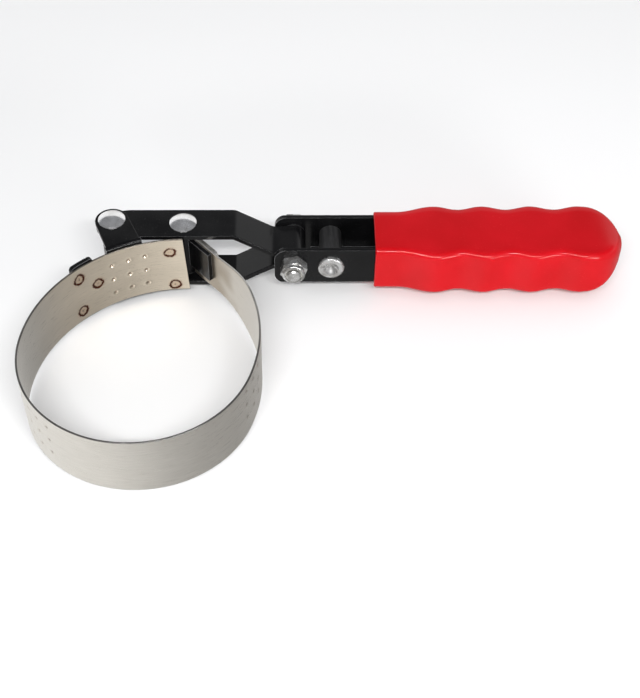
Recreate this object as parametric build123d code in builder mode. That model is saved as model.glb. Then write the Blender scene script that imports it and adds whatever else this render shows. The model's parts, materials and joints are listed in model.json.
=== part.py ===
from build123d import *
import math
import os

# Oil filter wrench with a steel band and a swivelling handle, in millimetres.
# The origin is the centre of the round front of the band, at half its height.
# +X points along the handle, +Y from the filter towards the lever, and +Z up.

os.makedirs("parts", exist_ok=True)

# ---------------------------------------------------------------- driving dimensions

# Filter band: a stainless strip bent to three arcs that meet tangentially
BAND_HEIGHT = 28.5
BAND_THICKNESS = 0.8
FRONT_RADIUS = 45.0  # inner radius of the round front
SHOE_RADIUS = 60.4  # inner radius of the flatter stretch held by the shoe
SIDE_RADIUS = 68.0  # inner radius of the flatter stretch on the handle's side
SHOE_MEETS_FRONT = 176.0  # degrees on the front arc
SIDE_MEETS_FRONT = 341.3
BAND_START = 90.5  # cut end of the band, in degrees on the shoe's arc
FIRST_FLEX = 143.0  # where the band leaves the shoe, in degrees on the shoe's arc
FLEX_COUNT = 6
FLEX_GAP = 0.16
TONGUE_HEIGHT = 20.5  # the band's narrow end, which passes between the lever's legs
TAPER_LENGTH = 24.0
TAB_THICKNESS = 1.2  # the tab that doubles the tongue's outer face
TAB_START = 6.4
TAB_END = 20.1
TAB_CORNER = 1.6
EYE_OUTSIDE = 5.5  # the end bracket: an eye with a plate on the tongue's inner face
EYE_SHOULDER = 0.2
PLATE_THICKNESS = 1.8
PLATE_END = 18.0
PLATE_BOTTOM = -5.2
PLATE_TOP = 9.2

# Lever: one strap folded round the swivel bolt, with two legs over two pivots
SHOE_PIVOT = (-15.35, 69.7)
END_PIVOT = (13.9, 69.7)
LEVER_HEIGHT = 28.0
STRAP_THICKNESS = 2.1
STRAP_WIDTH = 16.2
NOSE_RADIUS = 6.8
NOSE_TAPER_START = -7.5
BEND_START = 35.4
NECK_START = 51.2
LOOP_RADIUS = 5.1
NECK_PINCH = 0.6  # the neck behind the loop is this much slimmer on each side
BEND_RADIUS = 3.5
OPEN_END = -40.0  # the strap is drawn this far back, and its nose outline cuts it

# Pivots and bolt
PIVOT_RADIUS = 3.0
PIVOT_CLEARANCE = 0.05
PIVOT_HEAD_RADIUS = 5.6
PIVOT_HEAD_HEIGHT = 2.1
PIVOT_HEAD_RIM = 0.3
PIVOT_TAIL_RIM = 0.5
TAIL_FACE_SHARE = 0.7
TAIL_BULGE_SHARE = 0.93
TAIL_BULGE_DEPTH = 0.75
PIVOT_TAIL_RADIUS = 4.9
PIVOT_TAIL_HEIGHT = 1.9
PIVOT_SPACER_RADIUS = 5.0
SPACER_END_GAP = 0.2
EYE_CLEARANCE = 0.5  # the eye of the end bracket is loose on its rivet
BOLT_X = 59.6
BOLT_RADIUS = 3.0
NUT_ACROSS_FLATS = 10.0
NUT_HEIGHT = 6.0
NUT_TURN = 14.0
BOLT_HEAD_HEIGHT = 4.0
BOLT_PROTRUSION = 1.0
BOLT_CHAMFER = 0.5
COLLAR_START = 4.0  # the nut's hexagon ends here and its round collar goes on
COLLAR_MARGIN = 0.15
COLLAR_ROUNDING = 1.0
NUT_MOUTH_RADIUS = 3.6
INSERT_RADIUS = 4.1
INSERT_THICKNESS = 1.2
WASHER_THICKNESS = 0.6
WASHER_RADIUS = 4.9
EDGE_ROUNDING = 0.35  # punched edges of the black parts
FACE_GAP = 0.02  # pieces that lie against each other keep this much apart
TOUCH = 0.01  # two sizes closer than this are the same

# Shoe bracket
SHOE_END = 136.5  # degrees on the shoe's arc
PAD_START = 126.8
SHOE_THICKNESS = 1.8
SHOE_WEB_HEIGHT = 22.0
PAD_HEIGHT = 30.2
EAR_THICKNESS = 1.7
EAR_GAP = 0.1
EAR_RADIUS = 6.9
EAR_FROM = 106.6  # the web stretch that carries the ears, in degrees
EAR_TO = 120.8
EAR_ROOT_INSET = 0.4  # degrees
WEB_SETBACK = 2.3  # degrees from the band's start to the web's
FOLD_MARGIN = 2.0  # degrees the fold is cut past the ears
FOLD_RADIUS = 1.5
PAD_CORNER = 1.6

# Handle
CHANNEL_WIDTH = 22.0
CHANNEL_TOP = 8.35
CHANNEL_BOTTOM = -10.2
CHANNEL_THICKNESS = 2.1
CHANNEL_CORNER = 1.2
CHANNEL_START = 51.6
CHANNEL_END = 186.0
FLOOR_START = 67.0
WALL_END_ROUNDING = 5.2
CROSS_RIVET_X = 75.2
CROSS_RIVET_Z = -0.6
CROSS_RIVET_RADIUS = 2.6
CROSS_RIVET_HEAD_RADIUS = 5.5
CROSS_RIVET_HEAD_HEIGHT = 1.5
CROSS_RIVET_ROUNDING = 0.9
HOLLOW_RADIUS = 3.3
HOLLOW_DEPTH = 2.8
HOLLOW_TAPER = 35.0
SPACER_RADIUS = 4.75
GRIP_START = 93.4
GRIP_END = 198.0
GRIP_TOP = 9.7
GRIP_BOTTOM = -12.3
GRIP_CORNER = 3.0
GRIP_FIT = 0.05
CORNER_LIMIT = 0.8  # of half a side
MOUTH_HALF_WIDTH = 12.8
VALLEY_HALF_WIDTH = 14.1
CREST_HALF_WIDTH = 16.1
RISE_START = 103.0  # where the grip starts to widen towards its first swell
TIP_START = 182.1
SWELL_PITCH = 20.4
FIRST_SWELL = 119.0

# ---------------------------------------------------------------- worked out from them

HALF_BAND = BAND_THICKNESS / 2
HALF_LEVER = LEVER_HEIGHT / 2
LEG_INSIDE = HALF_LEVER - STRAP_THICKNESS
EAR_BOTTOM = HALF_LEVER + EAR_GAP
EAR_TOP = EAR_BOTTOM + EAR_THICKNESS
HANDLE_Y = SHOE_PIVOT[1]
WALL_OUTSIDE = CHANNEL_WIDTH / 2
WALL_INSIDE = WALL_OUTSIDE - CHANNEL_THICKNESS


def polar(radius, degrees, centre=(0.0, 0.0)):
    """The point at a radius and an angle about a centre."""
    angle = math.radians(degrees)
    return (centre[0] + radius * math.cos(angle), centre[1] + radius * math.sin(angle))


def lies_at(axis_name, heights):
    """A test for edges that lie flat in one of some planes square to an axis."""

    def test(edge):
        box = edge.bounding_box()
        low = getattr(box.min, axis_name)
        high = getattr(box.max, axis_name)
        return any(abs(low - height) < TOUCH and abs(high - height) < TOUCH for height in heights)

    return test


FRONT_CENTRE = (0.0, 0.0)
SHOE_CENTRE = polar(FRONT_RADIUS - SHOE_RADIUS, SHOE_MEETS_FRONT)
SIDE_CENTRE = polar(FRONT_RADIUS - SIDE_RADIUS, SIDE_MEETS_FRONT)

# The tongue is straight, tangent to the side arc, and its inner face is in line with
# the centre of the end pivot.
PIVOT_DX = END_PIVOT[0] - SIDE_CENTRE[0]
PIVOT_DY = END_PIVOT[1] - SIDE_CENTRE[1]
PIVOT_BEARING = math.degrees(math.atan2(PIVOT_DY, PIVOT_DX))
TONGUE_SWING = math.degrees(math.acos(SIDE_RADIUS / math.hypot(PIVOT_DX, PIVOT_DY)))
SIDE_END = 360.0 + PIVOT_BEARING - TONGUE_SWING
TONGUE_LENGTH = math.sqrt(PIVOT_DX**2 + PIVOT_DY**2 - SIDE_RADIUS**2)

BAND_ARCS = [
    (SHOE_CENTRE, SHOE_RADIUS, BAND_START, SHOE_MEETS_FRONT),
    (FRONT_CENTRE, FRONT_RADIUS, SHOE_MEETS_FRONT, SIDE_MEETS_FRONT),
    (SIDE_CENTRE, SIDE_RADIUS, SIDE_MEETS_FRONT, SIDE_END),
]


def arc_length(arc):
    """Length of a band arc along the middle of the strip."""
    centre, radius, first, last = arc
    return math.radians(last - first) * (radius + HALF_BAND)


BAND_LENGTH = sum(arc_length(arc) for arc in BAND_ARCS)
FLEX_START = math.radians(FIRST_FLEX - BAND_START) * (SHOE_RADIUS + HALF_BAND)
FLEX_PITCH = (BAND_LENGTH - FLEX_START) / FLEX_COUNT
FLEX_STATIONS = [FLEX_START + FLEX_PITCH * number for number in range(FLEX_COUNT)]

# Axes at the end pivot: along the tongue away from the pivot, and out of its outer face
TONGUE_PLANE = Plane(
    origin=(END_PIVOT[0], END_PIVOT[1], 0.0),
    x_dir=(*polar(1.0, SIDE_END - 90.0), 0.0),
    z_dir=(0.0, 0.0, 1.0),
)
TONGUE_SIDE_PLANE = Plane(
    origin=(END_PIVOT[0], END_PIVOT[1], 0.0),
    x_dir=(*polar(1.0, SIDE_END - 90.0), 0.0),
    z_dir=(*polar(-1.0, SIDE_END), 0.0),
)
LENGTHWISE_PLANE = Plane(
    origin=(0.0, HANDLE_Y, 0.0),
    x_dir=(1.0, 0.0, 0.0),
    z_dir=(0.0, -1.0, 0.0),
)


def ribbon(centre, inner, outer, first, last):
    """Part of a ring, between two radii and two angles."""
    middle = (first + last) / 2
    with BuildSketch(Plane.XY) as shape:
        with BuildLine():
            ThreePointArc(
                polar(inner, first, centre),
                polar(inner, middle, centre),
                polar(inner, last, centre),
            )
            Line(polar(inner, last, centre), polar(outer, last, centre))
            ThreePointArc(
                polar(outer, last, centre),
                polar(outer, middle, centre),
                polar(outer, first, centre),
            )
            Line(polar(outer, first, centre), polar(inner, first, centre))
        make_face()
    return shape.sketch


def band_ribbon(start, end):
    """The band's plan between two stations along its length."""
    passed = 0.0
    with BuildSketch(Plane.XY) as shape:
        for arc in BAND_ARCS:
            centre, radius, first, last = arc
            per_mm = (last - first) / arc_length(arc)
            low = first + max(start - passed, 0.0) * per_mm
            high = first + min(end - passed, arc_length(arc)) * per_mm
            if high > low:
                add(ribbon(centre, radius, radius + BAND_THICKNESS, low, high))
            passed += arc_length(arc)
    return shape.sketch


def save(builder, name):
    """Label a finished piece and write it out."""
    builder.part.label = name
    export_step(builder.part, "parts/" + name + ".step")


# ---------------------------------------------------------------- band

with BuildPart() as band_shoe_stretch:
    with BuildSketch():
        add(band_ribbon(0.0, FLEX_START - FLEX_GAP / 2))
    extrude(amount=BAND_HEIGHT / 2, both=True)
save(band_shoe_stretch, "band_shoe_stretch")

for number in range(FLEX_COUNT - 1):
    stretch_start = FLEX_STATIONS[number] + FLEX_GAP / 2
    stretch_end = FLEX_STATIONS[number + 1] - FLEX_GAP / 2
    with BuildPart() as band_stretch:
        with BuildSketch():
            add(band_ribbon(stretch_start, stretch_end))
        extrude(amount=BAND_HEIGHT / 2, both=True)
    save(band_stretch, f"band_stretch_{number + 1}")

# The last stretch tapers to the tongue, which runs up to the eye of the end bracket.
TONGUE_START = EYE_OUTSIDE + EYE_SHOULDER
with BuildPart() as band_tongue:
    with BuildSketch():
        add(band_ribbon(FLEX_STATIONS[-1] + FLEX_GAP / 2, BAND_LENGTH))
    with BuildSketch(TONGUE_PLANE):
        with Locations(((TONGUE_START + TONGUE_LENGTH) / 2, HALF_BAND)):
            Rectangle(TONGUE_LENGTH - TONGUE_START, BAND_THICKNESS)
    extrude(amount=BAND_HEIGHT / 2, both=True)
    for side in (-1, 1):
        with BuildSketch(TONGUE_SIDE_PLANE):
            with BuildLine():
                Polyline(
                    (0.0, side * TONGUE_HEIGHT / 2),
                    (TONGUE_LENGTH, side * TONGUE_HEIGHT / 2),
                    (TONGUE_LENGTH + TAPER_LENGTH, side * BAND_HEIGHT / 2),
                    (TONGUE_LENGTH + TAPER_LENGTH, side * BAND_HEIGHT),
                    (0.0, side * BAND_HEIGHT),
                    close=True,
                )
            make_face()
        extrude(amount=BAND_HEIGHT, both=True, mode=Mode.SUBTRACT)
save(band_tongue, "band_tongue")

# The backing tab doubles the tongue on its outer face, with a rounded free end.
with BuildPart() as band_end_tab:
    with BuildSketch(TONGUE_SIDE_PLANE.offset(-BAND_THICKNESS - FACE_GAP)):
        with Locations(((TAB_START + TAB_END) / 2, 0.0)):
            Rectangle(TAB_END - TAB_START, TONGUE_HEIGHT)
        fillet(vertices().group_by(Axis.X)[-1], TAB_CORNER)
    extrude(amount=-TAB_THICKNESS)
save(band_end_tab, "band_end_tab")

# ---------------------------------------------------------------- shoe bracket

WEB_INSIDE = SHOE_RADIUS + BAND_THICKNESS + FACE_GAP
WEB_OUTSIDE = WEB_INSIDE + SHOE_THICKNESS
WEB_START = BAND_START + WEB_SETBACK
CUT_MARGIN = 2.0
CUT_INSIDE = WEB_INSIDE - CUT_MARGIN
CUT_OUTSIDE = WEB_OUTSIDE + CUT_MARGIN
WEB_MIDDLE = (WEB_INSIDE + WEB_OUTSIDE) / 2
EAR_ROOT_START = polar(WEB_MIDDLE, EAR_FROM + EAR_ROOT_INSET, SHOE_CENTRE)
EAR_ROOT_END = polar(WEB_MIDDLE, EAR_TO - EAR_ROOT_INSET, SHOE_CENTRE)

FOLD_PLANE = Plane(
    origin=(*SHOE_CENTRE, 0.0),
    x_dir=(*polar(1.0, EAR_FROM - 1.0), 0.0),
    z_dir=(*polar(1.0, EAR_FROM - 91.0), 0.0),
)


def outer_tangent(point, centre, radius, side):
    """Where a line from a point touches a circle, on one side of it."""
    dx = centre[0] - point[0]
    dy = centre[1] - point[1]
    bearing = math.degrees(math.atan2(dy, dx))
    turn = math.degrees(math.acos(radius / math.hypot(dx, dy)))
    return polar(radius, bearing + 180.0 + side * turn, centre)


# Plan of one ear: a round end over the pivot, narrowing to its fold on the web
with BuildSketch(Plane.XY) as ear_plan:
    Polygon(
        EAR_ROOT_START,
        outer_tangent(EAR_ROOT_START, SHOE_PIVOT, EAR_RADIUS, 1),
        SHOE_PIVOT,
        outer_tangent(EAR_ROOT_END, SHOE_PIVOT, EAR_RADIUS, -1),
        EAR_ROOT_END,
        align=None,
    )
    with Locations(SHOE_PIVOT):
        Circle(EAR_RADIUS)
        Circle(PIVOT_RADIUS + PIVOT_CLEARANCE, mode=Mode.SUBTRACT)
    with Locations(SHOE_CENTRE):
        Circle(WEB_MIDDLE, mode=Mode.SUBTRACT)

with BuildPart() as shoe_bracket:
    with BuildSketch():
        add(ribbon(SHOE_CENTRE, WEB_INSIDE, WEB_OUTSIDE, WEB_START, SHOE_END))
    extrude(amount=EAR_TOP, both=True)
    for side in (-1, 1):
        # Only the pad and the ears stand higher than the web.
        with BuildSketch(Plane.XY.offset(side * SHOE_WEB_HEIGHT / 2)):
            add(ribbon(SHOE_CENTRE, CUT_INSIDE, CUT_OUTSIDE, WEB_START - CUT_MARGIN, EAR_FROM))
            add(ribbon(SHOE_CENTRE, CUT_INSIDE, CUT_OUTSIDE, EAR_TO, PAD_START))
        extrude(amount=side * EAR_TOP, mode=Mode.SUBTRACT)
        with BuildSketch(Plane.XY.offset(side * PAD_HEIGHT / 2)):
            add(ribbon(SHOE_CENTRE, CUT_INSIDE, CUT_OUTSIDE, EAR_TO, SHOE_END + CUT_MARGIN))
        extrude(amount=side * EAR_TOP, mode=Mode.SUBTRACT)
    pad_corners = (
        edges()
        .filter_by(lambda edge: abs(abs(edge.center().Z) - PAD_HEIGHT / 2) < TOUCH)
        .filter_by(GeomType.LINE)
    )
    fillet(pad_corners, PAD_CORNER)
    for side in (-1, 1):
        with BuildSketch(Plane.XY.offset(side * EAR_BOTTOM)):
            add(ear_plan.sketch)
        extrude(amount=side * EAR_THICKNESS)
    ear_rims = edges().filter_by(lies_at("Z", (-EAR_TOP, EAR_TOP))).filter_by(GeomType.CIRCLE)
    fillet(ear_rims.filter_by(lambda rim: abs(rim.radius - EAR_RADIUS) < TOUCH), EDGE_ROUNDING)
    # Rounded folds where each ear leaves the web
    for side in (-1, 1):
        with BuildSketch(FOLD_PLANE):
            with Locations((WEB_INSIDE, side * EAR_TOP)):
                Rectangle(2 * FOLD_RADIUS, 2 * FOLD_RADIUS)
            with Locations((WEB_INSIDE + FOLD_RADIUS, side * (EAR_TOP - FOLD_RADIUS))):
                Circle(FOLD_RADIUS, mode=Mode.SUBTRACT)
        revolve(
            axis=Axis((*SHOE_CENTRE, 0.0), (0.0, 0.0, 1.0)),
            revolution_arc=EAR_TO - EAR_FROM + FOLD_MARGIN,
            mode=Mode.SUBTRACT,
        )
save(shoe_bracket, "shoe_bracket")

# ---------------------------------------------------------------- lever

HALF_NECK = LOOP_RADIUS - NECK_PINCH
LEVER_FRONT = HANDLE_Y - STRAP_WIDTH / 2
LEVER_BACK = HANDLE_Y + STRAP_WIDTH / 2
with BuildPart() as lever_strap:
    with BuildSketch(LENGTHWISE_PLANE):
        with BuildLine():
            Polyline(
                (OPEN_END, HALF_LEVER),
                (BEND_START, HALF_LEVER),
                (NECK_START, HALF_NECK),
                (NECK_START, -HALF_NECK),
                (BEND_START, -HALF_LEVER),
                (OPEN_END, -HALF_LEVER),
                close=True,
            )
        make_face()
        with BuildLine():
            Polyline(
                (NECK_START, HALF_NECK),
                (BOLT_X, LOOP_RADIUS),
                (BOLT_X, -LOOP_RADIUS),
                (NECK_START, -HALF_NECK),
                close=True,
            )
        make_face()
        with Locations((BOLT_X, 0.0)):
            Circle(LOOP_RADIUS)
        bends = vertices().filter_by(lambda corner: BEND_START <= round(corner.X, 3) <= NECK_START)
        fillet(bends, BEND_RADIUS)
        offset(amount=-STRAP_THICKNESS, mode=Mode.SUBTRACT)
        with Locations((OPEN_END, 0.0)):
            Rectangle(2 * STRAP_THICKNESS, 2 * LEG_INSIDE, mode=Mode.SUBTRACT)
    extrude(amount=STRAP_WIDTH / 2, both=True)
    # Plan outline of the legs, with a nose round the shoe's pivot
    with BuildSketch():
        with Locations(SHOE_PIVOT):
            Circle(NOSE_RADIUS)
        Polygon(
            (NOSE_TAPER_START, LEVER_FRONT),
            outer_tangent((NOSE_TAPER_START, LEVER_FRONT), SHOE_PIVOT, NOSE_RADIUS, -1),
            SHOE_PIVOT,
            outer_tangent((NOSE_TAPER_START, LEVER_BACK), SHOE_PIVOT, NOSE_RADIUS, 1),
            (NOSE_TAPER_START, LEVER_BACK),
            (BOLT_X + 2 * LOOP_RADIUS, LEVER_BACK),
            (BOLT_X + 2 * LOOP_RADIUS, LEVER_FRONT),
            align=None,
        )
    extrude(amount=LEVER_HEIGHT, both=True, mode=Mode.INTERSECT)
    fillet(edges().filter_by(lies_at("Y", (LEVER_FRONT, LEVER_BACK))), EDGE_ROUNDING)
    for pivot in (SHOE_PIVOT, END_PIVOT):
        with Locations((*pivot, 0.0)):
            Cylinder(PIVOT_RADIUS + PIVOT_CLEARANCE, 2 * LEVER_HEIGHT, mode=Mode.SUBTRACT)
    with BuildSketch(LENGTHWISE_PLANE):
        with Locations((BOLT_X, 0.0)):
            Circle(BOLT_RADIUS + PIVOT_CLEARANCE)
    extrude(amount=STRAP_WIDTH, both=True, mode=Mode.SUBTRACT)
save(lever_strap, "lever_strap")

# ---------------------------------------------------------------- pivot rivets


def rivet_profile(seat):
    """Half of a pivot rivet: a domed head on top and a flatter formed tail below."""
    dome = PIVOT_HEAD_HEIGHT - PIVOT_HEAD_RIM
    dome_radius = (PIVOT_HEAD_RADIUS**2 + dome**2) / (2 * dome)
    half_turn = math.asin(PIVOT_HEAD_RADIUS / dome_radius) / 2
    rim_top = seat + PIVOT_HEAD_RIM
    top = seat + PIVOT_HEAD_HEIGHT
    bottom = -seat - PIVOT_TAIL_HEIGHT
    tail_face = PIVOT_TAIL_RADIUS * TAIL_FACE_SHARE
    bulge = PIVOT_TAIL_RADIUS * TAIL_BULGE_SHARE
    with BuildSketch(Plane.XY) as shape:
        with BuildLine():
            Line((0.0, bottom), (tail_face, bottom))
            ThreePointArc(
                (tail_face, bottom),
                (bulge, -seat - PIVOT_TAIL_HEIGHT * TAIL_BULGE_DEPTH),
                (PIVOT_TAIL_RADIUS, -seat - PIVOT_TAIL_RIM),
            )
            Polyline(
                (PIVOT_TAIL_RADIUS, -seat - PIVOT_TAIL_RIM),
                (PIVOT_TAIL_RADIUS, -seat),
                (PIVOT_RADIUS, -seat),
                (PIVOT_RADIUS, seat),
                (PIVOT_HEAD_RADIUS, seat),
                (PIVOT_HEAD_RADIUS, rim_top),
            )
            ThreePointArc(
                (PIVOT_HEAD_RADIUS, rim_top),
                (
                    dome_radius * math.sin(half_turn),
                    top - dome_radius * (1.0 - math.cos(half_turn)),
                ),
                (0.0, top),
            )
            Line((0.0, top), (0.0, bottom))
        make_face()
    return shape.sketch


for name, pivot, seat in (
    ("shoe_pivot_rivet", SHOE_PIVOT, EAR_TOP),
    ("end_pivot_rivet", END_PIVOT, HALF_LEVER),
):
    with BuildPart() as pivot_rivet:
        pivot_plane = Plane(
            origin=(*pivot, 0.0), x_dir=(1.0, 0.0, 0.0), z_dir=(0.0, -1.0, 0.0)
        )
        with BuildSketch(pivot_plane):
            add(rivet_profile(seat))
        revolve(axis=Axis((*pivot, 0.0), (0.0, 0.0, 1.0)))
    save(pivot_rivet, name)

# A tube on the shoe's rivet keeps the lever's two legs apart.
with BuildPart() as shoe_pivot_spacer:
    with BuildSketch():
        with Locations(SHOE_PIVOT):
            Circle(PIVOT_SPACER_RADIUS)
            Circle(PIVOT_RADIUS + PIVOT_CLEARANCE, mode=Mode.SUBTRACT)
    extrude(amount=LEG_INSIDE - SPACER_END_GAP, both=True)
save(shoe_pivot_spacer, "shoe_pivot_spacer")

# ---------------------------------------------------------------- end bracket

with BuildPart() as end_bracket:
    with BuildSketch():
        with Locations(END_PIVOT):
            Circle(EYE_OUTSIDE)
    extrude(amount=TONGUE_HEIGHT / 2, both=True)
    with BuildSketch(TONGUE_PLANE.offset(PLATE_BOTTOM)):
        with Locations((PLATE_END / 2, -PLATE_THICKNESS / 2 - FACE_GAP)):
            Rectangle(PLATE_END, PLATE_THICKNESS)
    extrude(amount=PLATE_TOP - PLATE_BOTTOM)
    with Locations((*END_PIVOT, 0.0)):
        Cylinder(PIVOT_RADIUS + EYE_CLEARANCE, 2 * TONGUE_HEIGHT, mode=Mode.SUBTRACT)
save(end_bracket, "end_bracket")

# ---------------------------------------------------------------- handle channel

CHANNEL_HEIGHT = CHANNEL_TOP - CHANNEL_BOTTOM
CHANNEL_MIDDLE = (CHANNEL_TOP + CHANNEL_BOTTOM) / 2
with BuildPart() as handle_channel:
    with BuildSketch(Plane.YZ.offset(CHANNEL_START)):
        with Locations((HANDLE_Y, CHANNEL_MIDDLE)):
            Rectangle(CHANNEL_WIDTH, CHANNEL_HEIGHT)
        fillet(vertices().group_by(Axis.Y)[0], CHANNEL_CORNER)
        with Locations((HANDLE_Y, CHANNEL_MIDDLE + CHANNEL_THICKNESS)):
            Rectangle(2 * WALL_INSIDE, CHANNEL_HEIGHT, mode=Mode.SUBTRACT)
        fillet(vertices().group_by(Axis.Y)[-1], EDGE_ROUNDING)
    extrude(amount=CHANNEL_END - CHANNEL_START)
    # The floor stops short of the bolt, so that the walls swing past the lever.
    with BuildSketch(Plane.XY.offset(-CHANNEL_HEIGHT)):
        with Locations(((CHANNEL_START + FLOOR_START) / 2, HANDLE_Y)):
            Rectangle(FLOOR_START - CHANNEL_START, 2 * WALL_INSIDE)
    extrude(amount=2 * CHANNEL_HEIGHT, mode=Mode.SUBTRACT)
    # Rounded ends of the walls
    with BuildSketch(LENGTHWISE_PLANE):
        with Locations(((CHANNEL_START + CHANNEL_END) / 2, CHANNEL_MIDDLE)):
            Rectangle(CHANNEL_END - CHANNEL_START, CHANNEL_HEIGHT)
        fillet(vertices().group_by(Axis.X)[0], WALL_END_ROUNDING)
    extrude(amount=CHANNEL_WIDTH, both=True, mode=Mode.INTERSECT)
    with BuildSketch(LENGTHWISE_PLANE):
        with Locations((BOLT_X, 0.0)):
            Circle(BOLT_RADIUS + PIVOT_CLEARANCE)
        with Locations((CROSS_RIVET_X, CROSS_RIVET_Z)):
            Circle(CROSS_RIVET_RADIUS + PIVOT_CLEARANCE)
    extrude(amount=CHANNEL_WIDTH, both=True, mode=Mode.SUBTRACT)
save(handle_channel, "handle_channel")

# ---------------------------------------------------------------- swivel bolt and nut

FRONT_FACE = LENGTHWISE_PLANE.offset(WALL_OUTSIDE)
BACK_FACE = LENGTHWISE_PLANE.offset(-WALL_OUTSIDE)

with BuildPart() as swivel_bolt:
    with BuildSketch(BACK_FACE):
        with Locations((BOLT_X, 0.0)):
            Circle(BOLT_RADIUS)
    extrude(amount=CHANNEL_WIDTH + NUT_HEIGHT + BOLT_PROTRUSION)
    chamfer(faces().sort_by(Axis.Y)[0].edges(), BOLT_CHAMFER)
    with BuildSketch(BACK_FACE):
        with Locations((BOLT_X, 0.0)):
            RegularPolygon(NUT_ACROSS_FLATS / 2, 6, major_radius=False)
    extrude(amount=-BOLT_HEAD_HEIGHT)
save(swivel_bolt, "swivel_bolt")

with BuildPart() as lock_nut:
    with BuildSketch(FRONT_FACE):
        with Locations(Location((BOLT_X, 0.0, 0.0), (0.0, 0.0, NUT_TURN))):
            RegularPolygon(NUT_ACROSS_FLATS / 2, 6, major_radius=False)
    extrude(amount=COLLAR_START)
    with BuildSketch(FRONT_FACE):
        with Locations((BOLT_X, 0.0)):
            Circle(NUT_ACROSS_FLATS / 2 - COLLAR_MARGIN)
    extrude(amount=NUT_HEIGHT)
    fillet(faces().sort_by(Axis.Y)[0].edges(), COLLAR_ROUNDING)
    with BuildSketch(FRONT_FACE):
        with Locations((BOLT_X, 0.0)):
            Circle(BOLT_RADIUS + PIVOT_CLEARANCE)
    extrude(amount=NUT_HEIGHT, mode=Mode.SUBTRACT)
    with BuildSketch(FRONT_FACE.offset(COLLAR_START)):
        with Locations((BOLT_X, 0.0)):
            Circle(INSERT_RADIUS)
    extrude(amount=INSERT_THICKNESS, mode=Mode.SUBTRACT)
    with BuildSketch(FRONT_FACE.offset(COLLAR_START)):
        with Locations((BOLT_X, 0.0)):
            Circle(NUT_MOUTH_RADIUS)
    extrude(amount=NUT_HEIGHT, mode=Mode.SUBTRACT)
save(lock_nut, "lock_nut")

with BuildPart() as lock_nut_insert:
    with BuildSketch(FRONT_FACE.offset(COLLAR_START)):
        with Locations((BOLT_X, 0.0)):
            Circle(INSERT_RADIUS - FACE_GAP)
            Circle(BOLT_RADIUS + FACE_GAP, mode=Mode.SUBTRACT)
    extrude(amount=INSERT_THICKNESS - FACE_GAP)
save(lock_nut_insert, "lock_nut_insert")

# Two thin washers take up the play between the lever's loop and the handle's walls.
with BuildPart() as friction_washers:
    for side in (-1, 1):
        with BuildSketch(LENGTHWISE_PLANE.offset(side * (WALL_INSIDE - FACE_GAP))):
            with Locations((BOLT_X, 0.0)):
                Circle(WASHER_RADIUS)
                Circle(BOLT_RADIUS + PIVOT_CLEARANCE, mode=Mode.SUBTRACT)
        extrude(amount=-side * WASHER_THICKNESS)
save(friction_washers, "friction_washers")

# ---------------------------------------------------------------- cross rivet and spacer

with BuildPart() as cross_rivet:
    with BuildSketch(BACK_FACE):
        with Locations((CROSS_RIVET_X, CROSS_RIVET_Z)):
            Circle(CROSS_RIVET_RADIUS)
    extrude(amount=CHANNEL_WIDTH)
    with BuildSketch(BACK_FACE):
        with Locations((CROSS_RIVET_X, CROSS_RIVET_Z)):
            Circle(CROSS_RIVET_HEAD_RADIUS)
    extrude(amount=-CROSS_RIVET_HEAD_HEIGHT)
    fillet(faces().sort_by(Axis.Y)[-1].edges(), CROSS_RIVET_ROUNDING)
    with BuildSketch(FRONT_FACE):
        with Locations((CROSS_RIVET_X, CROSS_RIVET_Z)):
            Circle(CROSS_RIVET_HEAD_RADIUS)
    extrude(amount=CROSS_RIVET_HEAD_HEIGHT)
    fillet(faces().sort_by(Axis.Y)[0].edges(), CROSS_RIVET_ROUNDING)
    # The formed end is hollow, with a rolled rim.
    with BuildSketch(FRONT_FACE.offset(CROSS_RIVET_HEAD_HEIGHT)):
        with Locations((CROSS_RIVET_X, CROSS_RIVET_Z)):
            Circle(HOLLOW_RADIUS)
    extrude(amount=-HOLLOW_DEPTH, taper=HOLLOW_TAPER, mode=Mode.SUBTRACT)
save(cross_rivet, "cross_rivet")

with BuildPart() as cross_rivet_spacer:
    with BuildSketch(LENGTHWISE_PLANE):
        with Locations((CROSS_RIVET_X, CROSS_RIVET_Z)):
            Circle(SPACER_RADIUS)
            Circle(CROSS_RIVET_RADIUS + PIVOT_CLEARANCE, mode=Mode.SUBTRACT)
    extrude(amount=WALL_INSIDE - FACE_GAP, both=True)
save(cross_rivet_spacer, "cross_rivet_spacer")

# ---------------------------------------------------------------- grip


TIP_TURN = 76.0  # the tip's sections stop at this angle round the end
SIDE_FULLNESS = 1.13
HEIGHT_FULLNESS = 0.45
SWELL_SECTIONS = 22
TIP_SECTIONS = 6
TIP_LENGTH = (GRIP_END - TIP_START) / math.sin(math.radians(TIP_TURN))
GRIP_MIDDLE = (GRIP_TOP + GRIP_BOTTOM) / 2
GRIP_HALF_HEIGHT = (GRIP_TOP - GRIP_BOTTOM) / 2


def half_width_at(x):
    """Half the grip's width at a place along it, over the mouth and the finger swells."""
    if x < RISE_START:
        return MOUTH_HALF_WIDTH
    low = VALLEY_HALF_WIDTH
    turn = 2 * math.pi * (x - FIRST_SWELL) / SWELL_PITCH
    if x < FIRST_SWELL:
        low = MOUTH_HALF_WIDTH
        turn = math.pi * (FIRST_SWELL - x) / (FIRST_SWELL - RISE_START)
    return low + (CREST_HALF_WIDTH - low) * (1.0 + math.cos(turn)) / 2


def grip_section(x, half_width, half_height):
    """One rounded section of the grip, square to its length."""
    corner = min(GRIP_CORNER, CORNER_LIMIT * half_width, CORNER_LIMIT * half_height)
    with BuildSketch(Plane.YZ.offset(x)) as shape:
        with Locations((HANDLE_Y, GRIP_MIDDLE)):
            RectangleRounded(2 * half_width, 2 * half_height, corner)
    return shape.sketch


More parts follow.
